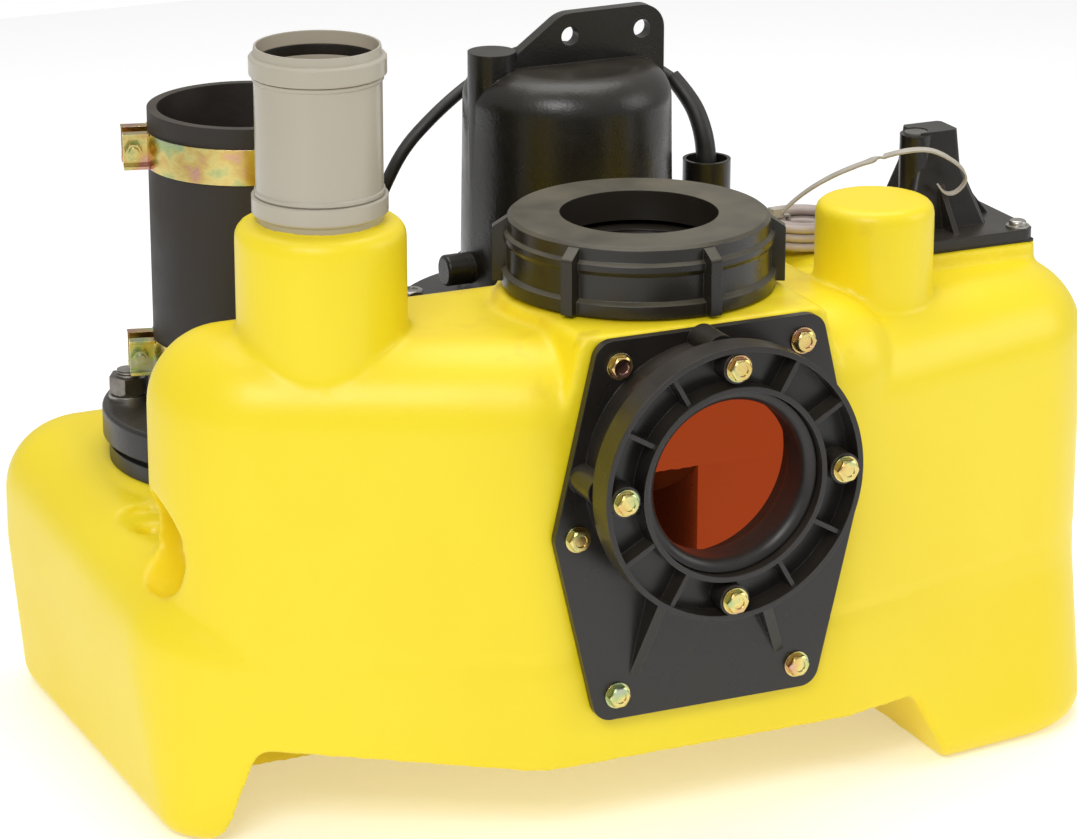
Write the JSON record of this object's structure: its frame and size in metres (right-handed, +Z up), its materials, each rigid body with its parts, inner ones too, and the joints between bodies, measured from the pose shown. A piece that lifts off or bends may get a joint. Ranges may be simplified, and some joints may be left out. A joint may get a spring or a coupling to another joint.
{
  "type": "sewage lifting station",
  "caption": "Floor-standing moulded tank with a clamped inlet port, screw cover, vent socket, discharge hose, level sensor and pump.",
  "frame": {"origin": "On the floor under the middle of the tank's flat underside, at the floor_face mount.", "axes": "+X runs to the right along the front with the inlet, +Y from the front to the back with the pump, +Z up."},
  "size_m": [0.675, 0.7215, 0.511],
  "materials": {
    "tank_plastic": "moulded yellow polyethylene, semi-matt",
    "black_plastic": "black moulded plastic",
    "cover_plastic": "black moulded plastic, slightly dusty",
    "seal_rubber": "black rubber",
    "hose_rubber": "black hose rubber",
    "yellow_zinc": "yellow passivated zinc",
    "plain_steel": "zinc-plated steel",
    "brass": "turned brass",
    "grey_pvc": "warm grey pipe plastic",
    "black_cast": "black coated cast iron",
    "steel_sheet": "laminated steel",
    "copper_wound": "wound stator",
    "cable_black": "black cable sheath",
    "cable_grey": "grey cable sheath",
    "nylon": "natural nylon",
    "float_plastic": "float plastic",
    "plug_grey": "grey plug insert"
  },
  "bodies": {
    "station": {"tank": "tank_plastic", "inlet_plate": "black_plastic", "inlet_plate_gasket": "seal_rubber", "inlet_plate_screws": "yellow_zinc", "inlet_plate_inserts": "brass", "inlet_lip_seal": "seal_rubber", "inlet_clamp_ring": "black_plastic", "inlet_clamp_screws": "yellow_zinc", "vent_coupling": "grey_pvc", "vent_seal_lower": "seal_rubber", "vent_seal_upper": "seal_rubber", "pump_flange_gasket": "seal_rubber", "pump_flange": "black_cast", "pump_flange_screws": "plain_steel", "motor_housing": "black_cast", "oil_plug": "black_cast", "stator": "copper_wound", "lower_bearing": "plain_steel", "upper_bearing": "plain_steel", "upper_bearing_holder": "black_cast", "shaft_seal": "seal_rubber", "volute_casing": "black_cast", "cable_gland": "black_plastic", "discharge_collar": "seal_rubber", "discharge_flange": "black_cast", "flange_studs": "plain_steel", "flange_nuts": "plain_steel", "flange_washers": "plain_steel", "discharge_hose": "hose_rubber", "hose_clamp_upper": "yellow_zinc", "hose_clamp_upper_bolt": "yellow_zinc", "hose_clamp_lower": "yellow_zinc", "hose_clamp_lower_bolt": "yellow_zinc", "discharge_elbow": "black_plastic", "check_valve_housing": "black_plastic", "flap_pin": "plain_steel", "sensor_tower_gasket": "seal_rubber", "sensor_tower": "black_plastic", "sensor_tower_plug": "plug_grey", "sensor_tower_screws": "plain_steel", "float_guide": "nylon", "cable_bend_sleeve": "cable_black", "motor_cable": "cable_black", "motor_cable_coil": "cable_black", "motor_plug": "black_plastic", "sensor_cable": "cable_grey", "sensor_cable_coil": "cable_grey", "cable_tie": "nylon"},
    "cover_lid": {"cover_disc": "black_plastic", "cover_seal": "seal_rubber"},
    "cover_screw_ring": {"cover_ring": "cover_plastic"},
    "pump_rotor": {"shaft": "plain_steel", "rotor": "steel_sheet", "impeller": "black_cast", "impeller_screw": "plain_steel"},
    "valve_flap": {"check_flap": "seal_rubber"},
    "level_float": {"float_rod": "plain_steel", "float_body": "float_plastic", "float_magnet": "plain_steel"}
  },
  "joints": [
    {"name": "cover_lift", "type": "slide", "parent": "station", "child": "cover_lid", "axis": [0, 0, 1], "range_m": [0, 0.012]},
    {"name": "cover_turn", "type": "hinge", "parent": "cover_lid", "child": "cover_screw_ring", "pos_m": [-0.012, -0.096, 0.385], "axis": [0, 0, 1], "range_deg": [0, 720]},
    {"name": "rotor_spin", "type": "hinge", "parent": "station", "child": "pump_rotor", "pos_m": [0.044, 0.134, 0.3], "axis": [0, 0, 1], "continuous": true},
    {"name": "flap_swing", "type": "hinge", "parent": "station", "child": "valve_flap", "pos_m": [-0.079, 0.113, 0.132], "axis": [0, 1, 0], "range_deg": [0, 45]},
    {"name": "float_travel", "type": "slide", "parent": "station", "child": "level_float", "axis": [0, 0, 1], "range_m": [0, 0.04]}
  ],
  "couplings": [
    {"joint": "cover_lift", "follows": "cover_turn", "m_per_rad": 0.000954}
  ]
}
